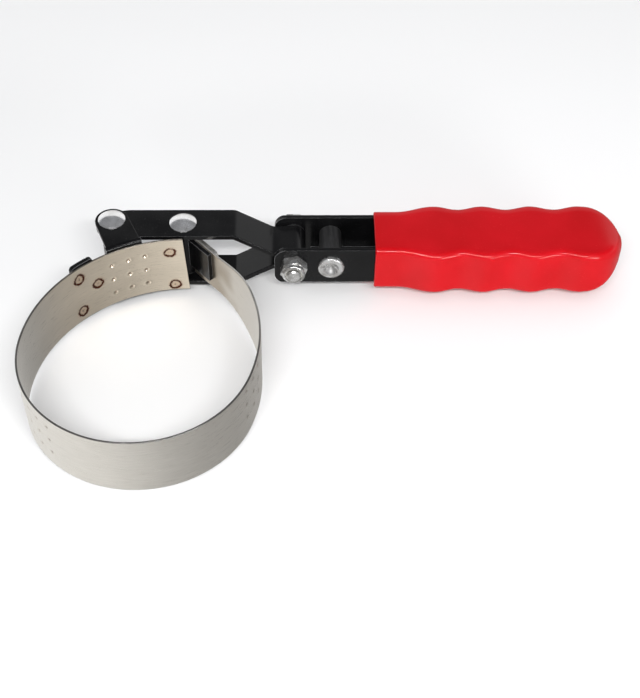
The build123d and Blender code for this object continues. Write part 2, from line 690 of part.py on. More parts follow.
with BuildPart() as grip:
    for number in range(SWELL_SECTIONS):
        x = GRIP_START + (TIP_START - GRIP_START) * number / (SWELL_SECTIONS - 1)
        add(grip_section(x, half_width_at(x), GRIP_HALF_HEIGHT))
    loft()
    for number in range(TIP_SECTIONS):
        turn = math.radians(TIP_TURN * number / (TIP_SECTIONS - 1))
        x = TIP_START + TIP_LENGTH * math.sin(turn)
        tip_half_width = half_width_at(TIP_START) * math.cos(turn) ** SIDE_FULLNESS
        tip_half_height = GRIP_HALF_HEIGHT * math.cos(turn) ** HEIGHT_FULLNESS
        add(grip_section(x, tip_half_width, tip_half_height))
    loft()
    with BuildSketch(Plane.YZ.offset(GRIP_START)):
        with Locations((HANDLE_Y, CHANNEL_MIDDLE)):
            Rectangle(CHANNEL_WIDTH + 2 * GRIP_FIT, CHANNEL_HEIGHT + 2 * GRIP_FIT)
    extrude(amount=CHANNEL_END + GRIP_FIT - GRIP_START, mode=Mode.SUBTRACT)
save(grip, "grip")
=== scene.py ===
import json
import math

import bpy
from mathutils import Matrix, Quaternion, Vector, noise


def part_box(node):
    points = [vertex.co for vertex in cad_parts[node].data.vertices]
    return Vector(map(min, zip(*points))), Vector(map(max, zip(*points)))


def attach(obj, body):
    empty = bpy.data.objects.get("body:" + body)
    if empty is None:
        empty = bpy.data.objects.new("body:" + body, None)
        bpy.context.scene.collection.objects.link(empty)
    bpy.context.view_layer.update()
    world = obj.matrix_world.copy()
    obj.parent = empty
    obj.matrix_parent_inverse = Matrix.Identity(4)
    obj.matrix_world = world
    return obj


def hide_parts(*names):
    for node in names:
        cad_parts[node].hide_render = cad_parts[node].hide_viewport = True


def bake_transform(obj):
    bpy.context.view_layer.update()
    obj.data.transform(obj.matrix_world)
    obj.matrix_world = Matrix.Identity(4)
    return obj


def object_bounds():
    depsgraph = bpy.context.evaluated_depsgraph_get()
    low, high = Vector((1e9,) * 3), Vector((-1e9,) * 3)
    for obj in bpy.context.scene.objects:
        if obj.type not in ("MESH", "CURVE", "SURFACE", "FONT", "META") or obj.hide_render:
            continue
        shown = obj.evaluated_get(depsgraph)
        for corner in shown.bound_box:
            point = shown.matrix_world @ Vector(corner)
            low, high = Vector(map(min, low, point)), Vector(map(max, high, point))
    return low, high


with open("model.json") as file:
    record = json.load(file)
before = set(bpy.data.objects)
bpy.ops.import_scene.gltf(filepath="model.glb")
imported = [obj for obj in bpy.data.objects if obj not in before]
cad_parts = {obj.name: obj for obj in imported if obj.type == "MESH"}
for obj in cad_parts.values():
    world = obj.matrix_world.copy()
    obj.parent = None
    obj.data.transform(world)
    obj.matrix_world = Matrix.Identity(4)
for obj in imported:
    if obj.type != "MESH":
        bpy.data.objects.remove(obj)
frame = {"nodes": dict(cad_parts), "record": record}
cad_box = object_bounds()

# Looks of an oil filter wrench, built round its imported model. Lengths are in millimetres
# in the formulas below, and every mesh is written in metres, in the model's own frame.

MM = 0.001

# ---------------------------------------------------------------- sizes of the model


def model_box(node):
    """The lowest and highest corners of a CAD node at rest, in millimetres."""
    low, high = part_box(node)
    return [round(value / MM, 3) for value in low], [round(value / MM, 3) for value in high]


strip_low, strip_high = model_box("band_shoe_stretch")
channel_low, channel_high = model_box("handle_channel")
grip_low, grip_high = model_box("grip")

BAND_HEIGHT = strip_high[2] - strip_low[2]
BAND_THICKNESS = 0.8
FRONT_RADIUS = 45.0
SHOE_RADIUS = 60.4
SIDE_RADIUS = 68.0
SHOE_MEETS_FRONT = 176.0
SIDE_MEETS_FRONT = 341.3
BAND_START = 90.5
FIRST_FLEX = 143.0
TONGUE_HEIGHT = 20.5
TONGUE_START = 5.7
TAPER_LENGTH = 24.0
END_PIVOT = (13.9, 69.7)

HANDLE_Y = (channel_low[1] + channel_high[1]) / 2
CHANNEL_HALF_WIDTH = (channel_high[1] - channel_low[1]) / 2
CHANNEL_TOP = channel_high[2]
CHANNEL_BOTTOM = channel_low[2]
CHANNEL_END = channel_high[0]
GRIP_START = grip_low[0]
GRIP_END = grip_high[0]
GRIP_TOP = grip_high[2]
GRIP_BOTTOM = grip_low[2]
GRIP_CORNER = 2.6
MOUTH_HALF_WIDTH = 12.8
VALLEY_HALF_WIDTH = 14.1
CREST_HALF_WIDTH = 16.1
RISE_START = 103.0
FIRST_SWELL = 119.0
SWELL_PITCH = 20.4
TIP_START = 182.1

BAND_NODES = ["band_shoe_stretch"] + [f"band_stretch_{number}" for number in range(1, 6)]

# ---------------------------------------------------------------- the band's route


def polar(radius, degrees, centre=(0.0, 0.0)):
    """The point at a radius and an angle about a centre."""
    angle = math.radians(degrees)
    return (centre[0] + radius * math.cos(angle), centre[1] + radius * math.sin(angle))


HALF_BAND = BAND_THICKNESS / 2
SHOE_CENTRE = polar(FRONT_RADIUS - SHOE_RADIUS, SHOE_MEETS_FRONT)
SIDE_CENTRE = polar(FRONT_RADIUS - SIDE_RADIUS, SIDE_MEETS_FRONT)
PIVOT_DX = END_PIVOT[0] - SIDE_CENTRE[0]
PIVOT_DY = END_PIVOT[1] - SIDE_CENTRE[1]
PIVOT_BEARING = math.degrees(math.atan2(PIVOT_DY, PIVOT_DX))
TONGUE_SWING = math.degrees(math.acos(SIDE_RADIUS / math.hypot(PIVOT_DX, PIVOT_DY)))
SIDE_END = 360.0 + PIVOT_BEARING - TONGUE_SWING
TONGUE_LENGTH = math.sqrt(PIVOT_DX**2 + PIVOT_DY**2 - SIDE_RADIUS**2)
BAND_ARCS = [
    (SHOE_CENTRE, SHOE_RADIUS, BAND_START, SHOE_MEETS_FRONT),
    ((0.0, 0.0), FRONT_RADIUS, SHOE_MEETS_FRONT, SIDE_MEETS_FRONT),
    (SIDE_CENTRE, SIDE_RADIUS, SIDE_MEETS_FRONT, SIDE_END),
]


def arc_length(arc):
    """Length of a band arc along the middle of the strip."""
    return math.radians(arc[3] - arc[2]) * (arc[1] + HALF_BAND)


ARCS_LENGTH = sum(arc_length(arc) for arc in BAND_ARCS)
BAND_END = ARCS_LENGTH + TONGUE_LENGTH - TONGUE_START
FLEX_START = math.radians(FIRST_FLEX - BAND_START) * (SHOE_RADIUS + HALF_BAND)
FLEX_PITCH = (ARCS_LENGTH - FLEX_START) / len(BAND_NODES)
FLEX_STATIONS = [FLEX_START + FLEX_PITCH * number for number in range(len(BAND_NODES))]
BEARING_STEPS = 1500


def band_place(station):
    """The inner face's point and the outward direction, at a length along the band."""
    for centre, radius, first, last in BAND_ARCS:
        length = arc_length((centre, radius, first, last))
        if station <= length:
            degrees = first + (last - first) * station / length
            return polar(radius, degrees, centre), polar(1.0, degrees)
        station -= length
    start = polar(SIDE_RADIUS, SIDE_END, SIDE_CENTRE)
    ahead = polar(1.0, SIDE_END + 90.0)
    point = (start[0] + station * ahead[0], start[1] + station * ahead[1])
    return point, polar(1.0, SIDE_END)


def station_on_shoe(degrees):
    """The length along the band at an angle on the shoe's arc."""
    return math.radians(degrees - BAND_START) * (SHOE_RADIUS + HALF_BAND)


def station_at_bearing(degrees):
    """The length along the band where it lies at a bearing from the origin."""

    def miss(station):
        point = band_place(station)[0]
        bearing = math.degrees(math.atan2(point[1], point[0]))
        return abs((bearing - degrees + 180.0) % 360.0 - 180.0)

    steps = [ARCS_LENGTH * number / BEARING_STEPS for number in range(BEARING_STEPS + 1)]
    return min(steps, key=miss)


def half_height_at(station):
    """Half the band's height, which tapers towards the tongue."""
    before_tongue = min(max((ARCS_LENGTH - station) / TAPER_LENGTH, 0.0), 1.0)
    eased = before_tongue * before_tongue * (3.0 - 2.0 * before_tongue)
    share = 0.5 * (before_tongue + eased)
    return (TONGUE_HEIGHT + (BAND_HEIGHT - TONGUE_HEIGHT) * share) / 2


def smooth(low, high, value):
    """0 below one value, 1 above another, and eased between them."""
    share = min(max((value - low) / (high - low), 0.0), 1.0)
    return share * share * (3.0 - 2.0 * share)


def hump(distance, width):
    """1 at no distance, falling away evenly on both sides over about a width."""
    return math.exp(-((distance / width) ** 2))


# ---------------------------------------------------------------- dimples and spot welds

DIMPLE_RADIUS = 1.15
DIMPLE_DEPTH = 0.5
DIMPLE_REACH = 2.2 * DIMPLE_RADIUS
LIP_RADIUS = 1.15 * DIMPLE_RADIUS
LIP_WIDTH = 0.3 * DIMPLE_RADIUS
LIP_SHARE = 0.22
# Painted shade in each dimple's pit: full within this radius, fading out to the dimple's edge, at
# this strength
PIT_RADIUS = 0.35 * DIMPLE_RADIUS
PIT_DARKNESS = 0.42
# Each group of dimples: columns along the band, rows by height, and 1 where they are punched
# from the inner face or -1 from the outer one
DIMPLE_GROUPS = [
    ([station_on_shoe(angle) for angle in (119.8, 112.9, 106.2)], (7.3, -0.4, -8.0), 1.0),
    ([station_at_bearing(angle) for angle in (-23.7, -15.0, -6.5)], (10.3, 2.9, -4.6), -1.0),
    ([station_at_bearing(angle) for angle in (-132.8, -140.4, -148.0)], (8.5, 1.0, -6.5), -1.0),
]
DIMPLES = [
    (station, row, side)
    for stations, rows, side in DIMPLE_GROUPS
    for station in stations
    for row in rows
]

WELD_RADIUS = 2.2
WELD_DEPTH = 0.12
WELD_REACH = 5.5
# A weld's dark ring: how far its edge wanders, the width of its line, and how much coarse
# spots and fine grit change that width
RING_WANDER = 0.4
RING_WIDTH = 0.56
SPOT_WIDTH = 0.28
GRIT_WIDTH = 0.3
WANDER_SCALE = 0.9
SPOT_SCALE = 1.6
GRIT_SCALE = 4.0
# The groove just outside the ring, the dark patch in its middle and the tan halo round it
GROOVE_WIDTH = 0.3
GROOVE_SHARE = 0.5
PATCH_DARKNESS = 0.4
PATCH_FADE = (0.3, 1.4)
HALO_FADE = (1.6, 4.4)
# Each weld: angle on the shoe's arc, height, and how strongly heat has coloured it
WELDS = [
    (134.4, 8.5, 1.0),
    (126.4, 1.2, 0.95),
    (134.9, -9.2, 1.0),
    (96.5, 7.4, 0.85),
    (95.4, -11.0, 0.95),
]

# The tongue's stain on its face and painted highlight on its rim: a faint share that grows
# over a long stretch, and a strong one whose start wanders
FAINT_STAIN = 0.42
STRONG_STAIN = 1.0 - FAINT_STAIN
FAINT_FADE = (ARCS_LENGTH - 75.0, ARCS_LENGTH - 15.0)
STRONG_FADE = (ARCS_LENGTH - 14.0, ARCS_LENGTH + 5.0)
STAIN_WANDER = 9.0
STAIN_SCALE = (0.12, 0.16)
STAIN_SEED = 3.0


def dimple_relief(station, height):
    """How far the strip is punched outwards at a place, and how dark the painted shade inside its
    pit is.
    """
    total = pit_shade = 0.0
    for centre, row, side in DIMPLES:
        reach = math.hypot(station - centre, height - row)
        if reach < DIMPLE_REACH:
            pit = 1.0 - smooth(0.0, DIMPLE_RADIUS, reach)
            lip = hump(reach - LIP_RADIUS, LIP_WIDTH)
            total += side * DIMPLE_DEPTH * (pit - LIP_SHARE * lip)
            pit_shade = max(pit_shade, PIT_DARKNESS * (1.0 - smooth(PIT_RADIUS, DIMPLE_RADIUS, reach)))
    return total, pit_shade


def weld_marks(station, height):
    """Relief, ring darkness and tan halo of the spot welds on the inner face."""
    relief = ring = halo = 0.0
    for degrees, row, strength in WELDS:
        along = station - station_on_shoe(degrees)
        up = height - row
        reach = math.hypot(along, up)
        if reach > WELD_REACH:
            continue
        turn = math.atan2(up, along)
        around = (WANDER_SCALE * math.cos(turn), WANDER_SCALE * math.sin(turn), row)
        edge = WELD_RADIUS + RING_WANDER * noise.noise(Vector(around))
        spots = noise.noise(Vector((SPOT_SCALE * along, SPOT_SCALE * up, row)))
        grit = noise.noise(Vector((GRIT_SCALE * along, GRIT_SCALE * up, row)))
        relief += WELD_DEPTH * (1.0 - smooth(edge - 0.35, edge + 0.1, reach))
        groove = hump(reach - edge - GROOVE_WIDTH, GROOVE_WIDTH)
        relief -= GROOVE_SHARE * WELD_DEPTH * groove
        line = hump(reach - edge, RING_WIDTH + SPOT_WIDTH * spots + GRIT_WIDTH * grit)
        patch = PATCH_DARKNESS * (1.0 - smooth(*PATCH_FADE, reach)) * (0.7 + spots)
        ring = max(ring, strength * max(line * (0.9 + 0.35 * spots), patch))
        halo = max(halo, strength * (1.0 - smooth(*HALO_FADE, reach)))
    return relief, ring, halo


def tongue_stain_and_rim_highlight(station, height):
    """How far the tongue is stained by the heat of its joint with the end bracket, and how far its
    rim takes a painted highlight.
    """
    flow = noise.noise(Vector((STAIN_SCALE[0] * station, STAIN_SCALE[1] * height, STAIN_SEED)))
    faint = smooth(*FAINT_FADE, station)
    strong = smooth(*STRONG_FADE, station + STAIN_WANDER * flow)
    return FAINT_STAIN * faint + STRONG_STAIN * strong


# ---------------------------------------------------------------- band meshes

COLUMN_STEP = 1.3
ROW_STEP = 1.6
# Closer lines round each dimple and weld: how far they reach, and how far apart they are
DIMPLE_LINES = (1.5, 0.2)
WELD_LINES = (3.0, 0.27)
CLOSEST_LINES = 0.06
NEAR_PIECE = 2.0
# The band's start is cut at a slight lean, in millimetres along for each one of height
START_LEAN = 0.048
LEAN_REACH = 14.0
EDGE_ROUNDING = 0.28
ROUND_STEPS = 3
SHARP_DEGREES = 35
WARM_REACH = (0.6 * FLEX_START, 1.7 * FLEX_START)


def grid_lines(low, high, step, marks):
    """Values from low to high a step apart, closer together round each mark."""
    values = {low, high}
    count = max(int((high - low) / step), 1)
    values.update(low + (high - low) * number / count for number in range(count + 1))
    for mark, reach, fine in marks:
        number = int(2 * reach / fine)
        values.update(mark - reach + fine * index for index in range(number + 1))
    kept = []
    for value in sorted(v for v in values if low <= v <= high):
        if not kept or value - kept[-1] > CLOSEST_LINES or value == high:
            kept.append(value)
    return kept


def new_mesh_object(name, points, faces, materials, face_materials, attributes):
    """A mesh object in metres from points in millimetres, smooth but for its sharp edges."""
    mesh = bpy.data.meshes.new(name)
    mesh.from_pydata([(x * MM, y * MM, z * MM) for x, y, z in points], [], faces)
    for material in materials:
        mesh.materials.append(material)
    mesh.polygons.foreach_set("material_index", face_materials)
    for label, kind, key, values in attributes:
        layer = mesh.attributes.new(label, kind, "POINT")
        layer.data.foreach_set(key, values)
    mesh.shade_smooth()
    mesh.set_sharp_from_angle(angle=math.radians(SHARP_DEGREES))
    mesh.validate()
    obj = bpy.data.objects.new(name, mesh)
    bpy.context.scene.collection.objects.link(obj)
    return obj


def strip_profile(rows, half_height):
    """Loop round the strip's section: (depth from the inner face, height, which side)."""
    flat = half_height - EDGE_ROUNDING
    scale = flat / (BAND_HEIGHT / 2 - EDGE_ROUNDING)
    inner = [(0.0, row * scale, "inner") for row in rows]
    outer = [(BAND_THICKNESS, row * scale, "outer") for row in reversed(rows)]
    rise = []
    for number in range(1, ROUND_STEPS + 1):
        turn = math.pi / 2 * number / (ROUND_STEPS + 1)
        depth = EDGE_ROUNDING * (1 - math.cos(turn))
        rise.append((depth, flat + EDGE_ROUNDING * math.sin(turn)))
    flats = [(EDGE_ROUNDING, half_height), (BAND_THICKNESS - EDGE_ROUNDING, half_height)]
    fall = [(BAND_THICKNESS - depth, height) for depth, height in reversed(rise)]
    top = [(depth, height, "edge") for depth, height in rise + flats + fall]
    bottom = [(BAND_THICKNESS - depth, -height, "edge") for depth, height, _ in top]
    return inner + top + outer + bottom


def strip_grid(start, end, with_welds):
    """Places along and across one stretch, closer together round its dimples and welds."""
    near = [place for place in DIMPLES if start - NEAR_PIECE < place[0] < end + NEAR_PIECE]
    column_marks = [(station, *DIMPLE_LINES) for station in sorted({place[0] for place in near})]
    row_marks = [(row, *DIMPLE_LINES) for row in sorted({place[1] for place in near})]
    if with_welds:
        column_marks += [(station_on_shoe(degrees), *WELD_LINES) for degrees, _, _ in WELDS]
        row_marks += [(row, *WELD_LINES) for _, row, _ in WELDS]
    flat = BAND_HEIGHT / 2 - EDGE_ROUNDING
    columns = grid_lines(start, end, COLUMN_STEP, column_marks)
    return columns, grid_lines(-flat, flat, ROW_STEP, row_marks)


def strip_faces(column_count, row_count, size):
    """Faces of a swept strip closed at both ends, and 0 for each on a flat side or 1."""
    faces, kinds = [], []
    outer_start = size // 2
    for column in range(column_count - 1):
        low, high = column * size, (column + 1) * size
        for index in range(size):
            following = (index + 1) % size
            faces.append((low + index, low + following, high + following, high + index))
            kinds.append(0 if index % outer_start < row_count - 1 else 1)
    top_edge = range(outer_start, row_count - 2, -1)
    bottom_edge = [0, *range(size - 1, outer_start + row_count - 2, -1)]
    for base, flip in ((0, False), ((column_count - 1) * size, True)):
        cap = []
        for index in range(row_count - 1):
            back = outer_start + row_count - 1 - index
            cap.append((index, back, back - 1, index + 1))
        for loop in [*cap, top_edge, bottom_edge]:
            face = [base + index for index in loop]
            faces.append(tuple(reversed(face)) if flip else tuple(face))
            kinds.append(1)
    return faces, kinds


def band_piece(name, start, end, with_welds):
    """One stretch of the strip, a closed mesh with its dimples and weld marks."""
    columns, rows = strip_grid(start, end, with_welds)
    points, strip, burn_and_pit_shade, halo, warmth, stain_and_rim_highlight = [], [], [], [], [], []
    for column in columns:
        warm = 1.0 - smooth(*WARM_REACH, column)
        lean = START_LEAN * (1.0 - smooth(0.0, LEAN_REACH, column))
        for depth, height, side in strip_profile(rows, half_height_at(column)):
            station = column + lean * height
            (x, y), (out_x, out_y) = band_place(station)
            push, pit_shade = dimple_relief(station, height) if side != "edge" else (0.0, 0.0)
            ring = glow = 0.0
            if side == "inner":
                relief, ring, glow = weld_marks(station, height)
                push += relief
            reach = depth + push
            points.append((x + out_x * reach, y + out_y * reach, height))
            strip += [station, height, depth]
            # The welds' dark rings and the painted shade in the dimples' pits share this attribute
            burn_and_pit_shade.append(max(ring, pit_shade))
            halo.append(glow)
            warmth.append(warm)
            stain_and_rim_highlight.append(tongue_stain_and_rim_highlight(station, height))
    faces, kinds = strip_faces(len(columns), len(rows), len(points) // len(columns))
    attributes = [
        ("strip", "FLOAT_VECTOR", "vector", strip),
        ("burn_and_pit_shade", "FLOAT", "value", burn_and_pit_shade),
        ("halo", "FLOAT", "value", halo),
        ("warmth", "FLOAT", "value", warmth),
        ("stain_and_rim_highlight", "FLOAT", "value", stain_and_rim_highlight),
    ]
    # The second finish, for rims and end faces, is the darker copy that paints shade on the edges
    finishes = [band_finish, band_rim_shaded_finish]
    return new_mesh_object(name, points, faces, finishes, kinds, attributes)


# ---------------------------------------------------------------- grip mesh

SIDE_POINTS = 14
TOP_POINTS = 12
CORNER_POINTS = 9
CORNER_LIMIT = 0.98
POCKET_GAP = 0.06
POCKET_CORNER = 0.5
MOUTH_BEVEL = 0.2
MOUTH_DEPTH = 2.0
MOUTH_CORNER = 0.7
LIP_ROUNDING = 0.55
LIP_STEPS = 6
BODY_STEP = 0.85
# The tip closes in faster across the grip than from top to bottom, as it opens its corners
TIP_STEPS = 26
TIP_WIDTH_POWER = 1.13
TIP_HEIGHT_POWER = 0.45
TIP_CORNER_GROWTH = 6.0


def half_width_at(x):
    """Half the grip's width at a place along it, over the mouth and the finger swells."""
    if x < RISE_START:
        return MOUTH_HALF_WIDTH
    low = VALLEY_HALF_WIDTH
    turn = 2 * math.pi * (x - FIRST_SWELL) / SWELL_PITCH
    if x < FIRST_SWELL:
        low = MOUTH_HALF_WIDTH
        turn = math.pi * (FIRST_SWELL - x) / (FIRST_SWELL - RISE_START)
    return low + (CREST_HALF_WIDTH - low) * (1.0 + math.cos(turn)) / 2


def rounded_loop(x, half_width, top, bottom, corner):
    """Points round a rounded rectangle that is square to X, evenly shared out."""
    middle = (top + bottom) / 2
    half_height = (top - bottom) / 2
    corner = min(corner, CORNER_LIMIT * half_width, CORNER_LIMIT * half_height)
    flat_y = half_width - corner
    flat_z = half_height - corner
    quarters = ((1, 1), (-1, 1), (-1, -1), (1, -1))

    def corner_point(quarter, share):
        """A point on a quarter's rounding, from 0 at its start to 1 at its end."""
        sign_y, sign_z = quarters[quarter % 4]
        angle = math.pi / 2 * (quarter + share)
        y = sign_y * flat_y + corner * math.cos(angle)
        z = sign_z * flat_z + corner * math.sin(angle)
        return (x, HANDLE_Y + y, middle + z)

    loop = []
    for quarter in range(4):
        for number in range(CORNER_POINTS):
            loop.append(corner_point(quarter, number / (CORNER_POINTS - 1)))
        last = loop[-1]
        goal = corner_point(quarter + 1, 0.0)
        count = TOP_POINTS if quarter % 2 == 0 else SIDE_POINTS
        for number in range(1, count):
            share = number / count
            loop.append(tuple(a + (b - a) * share for a, b in zip(last, goal)))
    return loop


def pocket_loops():
    """The pocket that the channel sits in, from its end to its bevelled mouth."""
    width = CHANNEL_HALF_WIDTH + POCKET_GAP
    top = CHANNEL_TOP + POCKET_GAP
    bottom = CHANNEL_BOTTOM - POCKET_GAP
    deep = (CHANNEL_END + POCKET_GAP, GRIP_START + MOUTH_DEPTH, GRIP_START + MOUTH_BEVEL)
    loops = [rounded_loop(x, width, top, bottom, POCKET_CORNER) for x in deep]
    wide = (width + MOUTH_BEVEL, top + MOUTH_BEVEL, bottom - MOUTH_BEVEL)
    return loops + [rounded_loop(GRIP_START, *wide, MOUTH_CORNER)]


def lip_loops():
    """The rounded lip, from the mouth out to the grip's skin."""
    loops = []
    for number in range(LIP_STEPS + 1):
        turn = math.pi / 2 * number / LIP_STEPS
        x = GRIP_START + LIP_ROUNDING * (1 - math.cos(turn))
        inset = LIP_ROUNDING * (1 - math.sin(turn))
        sides = (MOUTH_HALF_WIDTH - inset, GRIP_TOP - inset, GRIP_BOTTOM + inset)
        loops.append(rounded_loop(x, *sides, GRIP_CORNER))
    return loops


def body_loops():
    """The grip's skin along its finger swells."""
    loops = []
    x = GRIP_START + LIP_ROUNDING + BODY_STEP
    while x < TIP_START:
        loops.append(rounded_loop(x, half_width_at(x), GRIP_TOP, GRIP_BOTTOM, GRIP_CORNER))
        x += BODY_STEP
    return loops


def tip_loops(middle):
    """The rounded tip, up to the last ring before its end point."""
    loops = []
    for number in range(TIP_STEPS):
        turn = math.pi / 2 * number / TIP_STEPS
        x = TIP_START + (GRIP_END - TIP_START) * math.sin(turn)
        width = half_width_at(TIP_START) * math.cos(turn) ** TIP_WIDTH_POWER
        height = (GRIP_TOP - middle) * math.cos(turn) ** TIP_HEIGHT_POWER
        corner = GRIP_CORNER + TIP_CORNER_GROWTH * (1 - math.cos(turn))
        loops.append(rounded_loop(x, width, middle + height, middle - height, corner))
    return loops


def grip_mesh():
    """The dipped grip: a pocket round the channel, a rounded lip, four swells and a tip."""
    middle = (GRIP_TOP + GRIP_BOTTOM) / 2
    loops = pocket_loops() + lip_loops() + body_loops() + tip_loops(middle)
    size = len(loops[0])
    points = [point for loop in loops for point in loop]
    points.append((GRIP_END, HANDLE_Y, middle))
    faces = [tuple(range(size))]
    for ring in range(len(loops) - 1):
        low, high = ring * size, (ring + 1) * size
        for index in range(size):
            following = (index + 1) % size
            faces.append((low + index, high + index, high + following, low + following))
    last = (len(loops) - 1) * size
    for index in range(size):
        faces.append((last + index, len(points) - 1, last + (index + 1) % size))
    kinds = [0] * len(faces)
    return new_mesh_object("soft_grip", points, faces, [vinyl_finish], kinds, [])


# ---------------------------------------------------------------- shader helpers

BEVEL_SAMPLES = 6


def new_finish(name):
    """A new node material and its surface shader."""
    material = bpy.data.materials.new(name)
    material.use_nodes = True
    return material, material.node_tree, material.node_tree.nodes["Principled BSDF"]


def add_node(tree, kind, inputs, **settings):
    """A shader node with its settings, and with its inputs set or linked."""
    made = tree.nodes.new(kind)
    for name, value in settings.items():
        setattr(made, name, value)
    for name, value in inputs.items():
        if isinstance(value, bpy.types.NodeSocket):
            tree.links.new(value, made.inputs[name])
        else:
            made.inputs[name].default_value = value
    return made


def object_place(tree, scale=(1.0, 1.0, 1.0)):
    """The place on the object, in metres, stretched by a scale along each axis."""
    place = tree.nodes.new("ShaderNodeTexCoord").outputs["Object"]
    return add_node(tree, "ShaderNodeMapping", {"Vector": place, "Scale": scale}).outputs[0]


def strip_place(tree, scale):
    """The place on the unrolled strip, in millimetres, stretched by a scale."""
    place = add_node(tree, "ShaderNodeAttribute", {}, attribute_name="strip").outputs["Vector"]
    return add_node(tree, "ShaderNodeMapping", {"Vector": place, "Scale": scale}).outputs[0]


def noise_value(tree, place, scale, detail=3.0, rough=0.5):
    """Grey noise at a place."""
    inputs = {"Vector": place, "Scale": scale, "Detail": detail, "Roughness": rough}
    return add_node(tree, "ShaderNodeTexNoise", inputs).outputs[0]


def spread(tree, value, low, high, to_low=0.0, to_high=1.0):
    """A value carried from one range to another, eased and held at its ends."""
    inputs = {"Value": value, "From Min": low, "From Max": high}
    inputs |= {"To Min": to_low, "To Max": to_high}
    eased = {"interpolation_type": "SMOOTHSTEP"}
    return add_node(tree, "ShaderNodeMapRange", inputs, **eased).outputs[0]


def mix_colours(tree, share, first, second, blend="MIX"):
    """Two colours mixed by a share; each is a colour or another node's output."""
    made = tree.nodes.new("ShaderNodeMix")
    made.data_type = "RGBA"
    made.blend_type = blend
    for index, value in ((0, share), (6, first), (7, second)):
        if isinstance(value, bpy.types.NodeSocket):
            tree.links.new(value, made.inputs[index])
        elif index == 0:
            made.inputs[0].default_value = value
        else:
            made.inputs[index].default_value = (*value, 1.0)
    return made.outputs[2]


def add_bump(tree, shader, height, strength, distance):
    """A fine bump on a surface shader."""
    inputs = {"Height": height, "Strength": strength, "Distance": distance}
    bump = add_node(tree, "ShaderNodeBump", inputs)
    tree.links.new(bump.outputs[0], shader.inputs["Normal"])


def edge_share(tree, radius, low, high):
    """1 along the sharp edges of a piece and 0 on its flats."""
    bevel = add_node(tree, "ShaderNodeBevel", {"Radius": radius}, samples=BEVEL_SAMPLES)
    true_normal = tree.nodes.new("ShaderNodeNewGeometry").outputs["Normal"]
    inputs = {0: bevel.outputs[0], 1: true_normal}
    made = add_node(tree, "ShaderNodeVectorMath", inputs, operation="DOT_PRODUCT")
    return spread(tree, made.outputs["Value"], low, high, 1.0, 0.0)


# ---------------------------------------------------------------- finishes

# The strip: a warm cast over its start, the welds' tan halo and brown ring, that brown again as
# painted shade in the dimples' pits, and what its tongue's face and rim turn to, on the rim a
# painted highlight
WARM_CAST = (1.29, 1.19, 1.05)
TAN_HEAT = (0.72, 0.43, 0.23)
BROWN_RING_AND_PIT_SHADE = (0.085, 0.022, 0.010)
STAINED_FACE = (0.33, 0.28, 0.22)
# The tongue's rim turns bright: a painted highlight
TONGUE_RIM_HIGHLIGHT = (0.9, 0.88, 0.84)

# Steel grain and blotches, per millimetre of unrolled strip or per metre of the tab
STRIP_GRAIN = (0.12, 5.0, 1.0)
STRIP_BLOTCH = (0.06, 0.1, 0.5)
TAB_GRAIN = (150.0, 150.0, 4000.0)
TAB_BLOTCH = (90.0, 90.0, 90.0)
SCRATCHES = (300.0, 2600.0, 900.0)
TURNING_MARKS = (600.0, 80.0, 600.0)

ENAMEL_DARK = (0.003, 0.003, 0.0034)
ENAMEL_LIGHT = (0.007, 0.007, 0.0074)
ENAMEL_DUST = (0.05, 0.05, 0.048)
ENAMEL_EDGE_HIGHLIGHT = (0.17, 0.17, 0.175)
DARK_STEEL_LOW = (0.016, 0.016, 0.0165)
DARK_STEEL_HIGH = (0.045, 0.045, 0.046)
NYLON_DARK = (0.55, 0.54, 0.48)
NYLON_LIGHT = (0.72, 0.71, 0.66)
VINYL_DEEP = (0.46, 0.003, 0.006)
VINYL_BRIGHT = (0.53, 0.004, 0.009)
VINYL_SPECK = (0.72, 0.05, 0.05)
FLOOR_DARK = (0.90, 0.90, 0.90)
FLOOR_LIGHT = (0.93, 0.93, 0.93)


def heat_colours(tree, base, tongue_colour):
    """A strip's colour with its warm cast, its stained tongue (a painted highlight on the rim),
    its weld marks and the painted shade in its dimples' pits.
    """
    share = {}
    for label in ("warmth", "stain_and_rim_highlight", "halo", "burn_and_pit_shade"):
        read = add_node(tree, "ShaderNodeAttribute", {}, attribute_name=label)
        share[label] = read.outputs["Fac"]
    warm = spread(tree, share["warmth"], 0.0, 1.0)
    halo = spread(tree, share["halo"], 0.0, 1.0, 0.0, 0.35)
    # Brown for the weld rings, and the same brown as painted shade in the dimples' pits
    burn_and_pit_shade = spread(tree, share["burn_and_pit_shade"], 0.1, 0.7)
    base = mix_colours(tree, warm, base, WARM_CAST, "MULTIPLY")
    base = mix_colours(tree, share["stain_and_rim_highlight"], base, tongue_colour)
    base = mix_colours(tree, halo, base, TAN_HEAT)
    return mix_colours(tree, burn_and_pit_shade, base, BROWN_RING_AND_PIT_SHADE)


